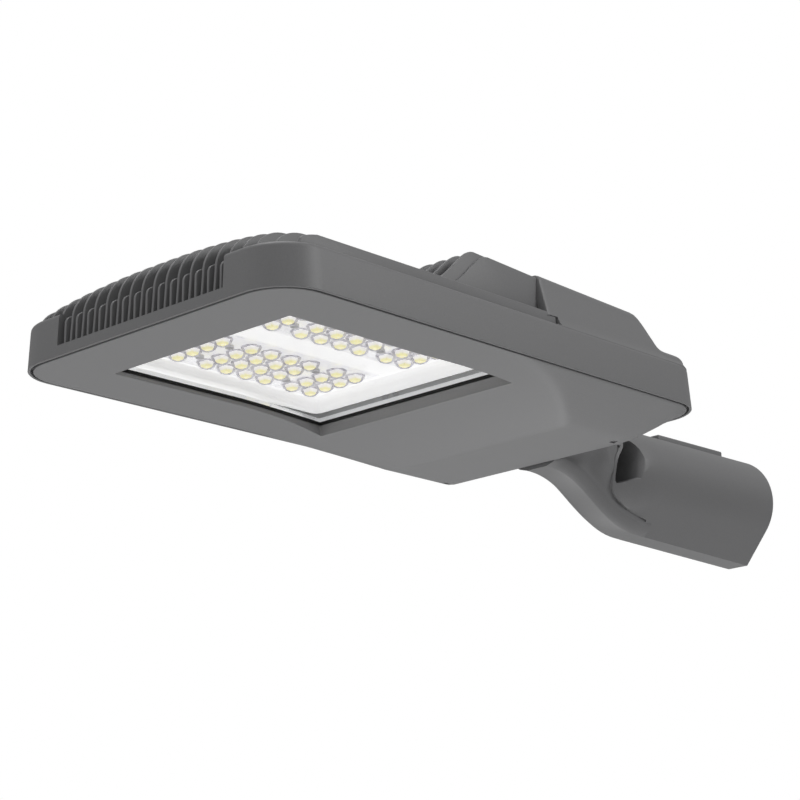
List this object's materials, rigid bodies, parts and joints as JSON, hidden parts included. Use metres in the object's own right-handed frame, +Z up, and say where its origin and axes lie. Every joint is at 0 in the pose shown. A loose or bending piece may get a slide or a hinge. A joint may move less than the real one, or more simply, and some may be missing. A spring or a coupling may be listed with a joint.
{
  "type": "led street light",
  "caption": "Flat die-cast LED street light head with a finned top, a glass window over lens plates and a swan-neck arm that slips over a round pole end.",
  "frame": {"origin": "centre of the pole socket's mouth, at the rear end of the arm", "axes": "+X out of the pole socket towards the pole, so -X is the front of the lamp; +Z up, with the window facing -Z; +Y to the right seen from the pole"},
  "size_m": [0.611, 0.25, 0.125],
  "materials": {
    "housing_paint": "fine satin powder coat, dark grey",
    "frame_paint": "fine satin powder coat, grey",
    "rim_rubber": "matt black",
    "clear_glass": "clear toughened glass",
    "glass_rubber": "matt black",
    "clip_steel": "bright spring steel",
    "reflector_white": "white, slightly satin",
    "pad_grey": "soft grey",
    "board_white": "white solder mask",
    "chip_yellow": "pale yellow, glossy",
    "lens_clear": "clear optical plastic",
    "screw_steel": "bright",
    "tray_steel": "zinc coated",
    "driver_black": "potted block in a black case",
    "surge_red": "moulded, red",
    "terminal_white": "moulded, off-white",
    "clamp_black": "moulded, black",
    "arm_paint": "fine satin powder coat, dark grey",
    "set_screw_steel": "grey zinc"
  },
  "bodies": {
    "root": {"housing": "housing_paint", "lower_frame": "frame_paint", "rim_gasket": "rim_rubber", "window_glass": "clear_glass", "glass_gasket": "glass_rubber", "glass_clips": "clip_steel", "reflector": "reflector_white", "thermal_pad_left": "pad_grey", "thermal_pad_right": "pad_grey", "led_board_left": "board_white", "led_board_right": "board_white", "led_chips": "chip_yellow", "lens_plate_left": "lens_clear", "lens_plate_right": "lens_clear", "optic_screws": "screw_steel", "gear_tray": "tray_steel", "tray_screws": "screw_steel", "driver": "driver_black", "surge_protector": "surge_red", "terminal_block": "terminal_white", "cable_clamp": "clamp_black", "wire_grommet": "glass_rubber", "breather_plug": "clamp_black", "frame_screws": "screw_steel", "spigot_arm": "arm_paint", "arm_bolts": "screw_steel", "arm_washers": "screw_steel", "set_screws": "set_screw_steel"}
  },
  "joints": []
}
